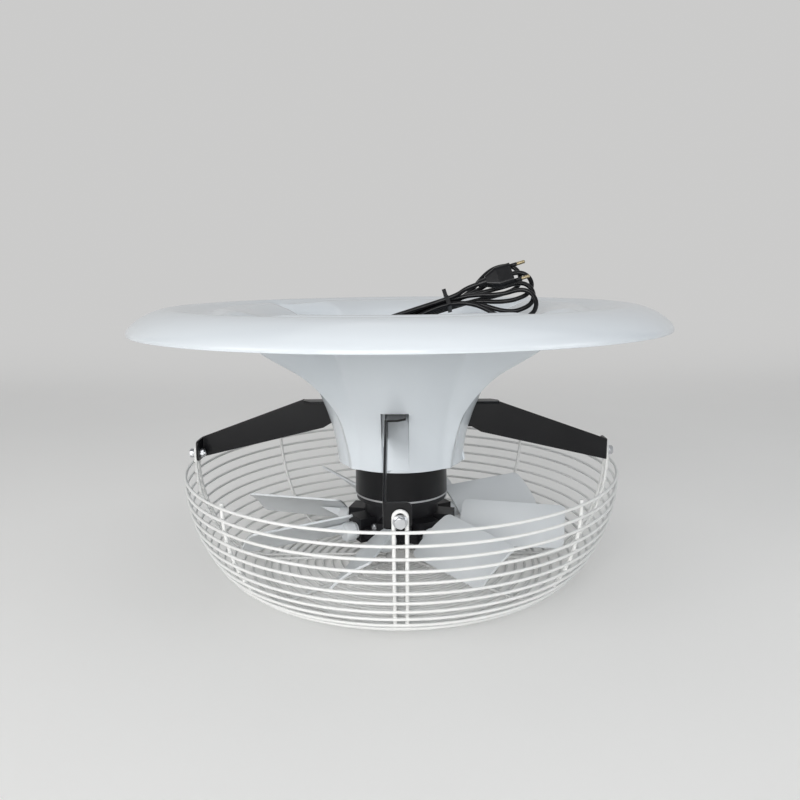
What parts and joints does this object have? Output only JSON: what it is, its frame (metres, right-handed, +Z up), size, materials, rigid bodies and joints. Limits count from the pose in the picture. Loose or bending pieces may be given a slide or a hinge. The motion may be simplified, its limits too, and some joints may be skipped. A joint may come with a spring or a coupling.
{
  "type": "hanging circulation fan",
  "caption": "Hanging circulation fan: white diffuser dish on a fluted neck, black motor with paddle blades below it, and a white wire guard on black arms.",
  "frame": {"origin": "middle of the wire guard's flat bottom, at the height of its lowest wires", "axes": "+Z up along the motor's axle, -Y towards the front arm, +X towards the right arm"},
  "size_m": [0.635, 0.635, 0.3836],
  "materials": {
    "white_plastic": "gloss white, moulded",
    "black_paint": "gloss black paint",
    "zinc": "bright zinc plating",
    "white_coating": "white powder coating",
    "aluminium": "cast, machined",
    "bearing_steel": "ground",
    "lamination": "varnished sheet stack",
    "copper": "enamelled copper wire",
    "black_plastic": "black, moulded",
    "grey_plastic": "light grey, moulded",
    "capacitor_case": "off-white case",
    "cord_sheath": "black sheath",
    "brass": "nickel-free brass pins"
  },
  "bodies": {
    "frame": {"diffuser": "white_plastic", "arm_front": "black_paint", "arm_right": "black_paint", "arm_back": "black_paint", "arm_left": "black_paint", "arm_bolts": "zinc", "arm_nuts": "zinc", "guard_bolts": "zinc", "guard_nuts": "zinc", "guard_wall_rings": "white_coating", "guard_floor_rings": "white_coating", "guard_hairpins": "white_coating", "guard_ribs": "white_coating", "axle": "bearing_steel", "circlip": "bearing_steel", "stator_core": "lamination", "windings": "copper", "motor_flange": "aluminium", "axle_nut": "zinc", "spacers": "zinc", "motor_screws": "zinc", "mounting_plate": "zinc", "lug_screws": "zinc", "terminal_box": "black_plastic", "box_lid": "black_plastic", "box_screws": "zinc", "lid_screws": "zinc", "cord_gland": "black_plastic", "gland_nut": "black_plastic", "capacitor": "capacitor_case", "capacitor_strap": "zinc", "strap_screws": "zinc", "hanging_eye": "zinc", "eye_nut": "zinc", "mains_cord": "cord_sheath", "cord_hank": "cord_sheath", "cable_tie": "black_plastic", "plug": "cord_sheath", "plug_pins": "brass"},
    "rotor": {"rotor_bell": "black_paint", "bell_plate": "aluminium", "bearings": "bearing_steel", "rotor_core": "lamination", "hub_upper": "black_plastic", "hub_lower": "black_plastic", "hub_bolts": "zinc", "hub_nuts": "zinc", "hub_screws": "zinc", "blade_1": "grey_plastic", "blade_2": "grey_plastic", "blade_3": "grey_plastic", "blade_4": "grey_plastic", "blade_5": "grey_plastic", "blade_6": "grey_plastic", "blade_7": "grey_plastic", "blade_8": "grey_plastic"}
  },
  "joints": [
    {"name": "rotor_spin", "type": "hinge", "parent": "frame", "child": "rotor", "pos_m": [0, 0, 0.097], "axis": [0, 0, 1], "continuous": true}
  ]
}
